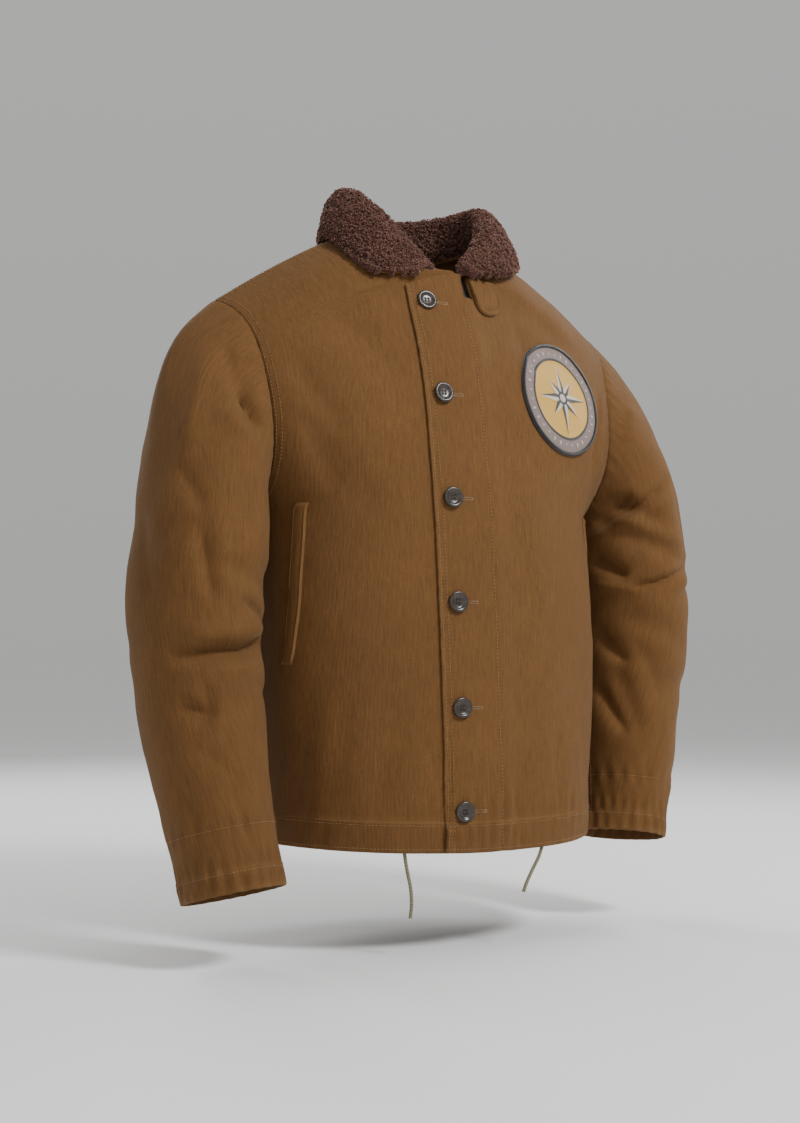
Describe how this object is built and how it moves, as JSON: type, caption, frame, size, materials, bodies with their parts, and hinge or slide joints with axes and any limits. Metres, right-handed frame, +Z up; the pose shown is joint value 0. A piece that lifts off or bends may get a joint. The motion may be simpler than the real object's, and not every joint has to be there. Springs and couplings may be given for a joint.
{
  "type": "deck jacket",
  "caption": "Brown corded-cotton deck jacket in its worn shape, with a pile collar, a storm flap with six buttons, slanted chest-side pockets, a round chest patch and a hem drawcord.",
  "frame": {"origin": "level with the high points of the shoulders, midway between them, where the wearer's shoulders hold the jacket", "axes": "+Z up, the front faces -Y, +X is the wearer's left"},
  "size_m": [0.6715, 0.2968, 0.7424],
  "materials": {
    "cloth": "corded cotton, tobacco brown",
    "pile": "curly pile, reddish brown",
    "button": "dark, rimmed, four holes",
    "patch": "embroidered twill",
    "zip": "woven tape and teeth",
    "cord": "braided, olive"
  },
  "bodies": {
    "root": {"left_front": "cloth", "right_front": "cloth", "back": "cloth", "left_sleeve": "cloth", "right_sleeve": "cloth", "collar_under": "cloth", "collar_pile": "pile", "throat_tab": "cloth", "left_pocket_welt": "cloth", "right_pocket_welt": "cloth", "chest_patch": "patch", "zip": "zip", "left_drawcord": "cord", "right_drawcord": "cord", "button_1": "button", "button_2": "button", "button_3": "button", "button_4": "button", "button_5": "button", "button_6": "button"}
  },
  "joints": []
}
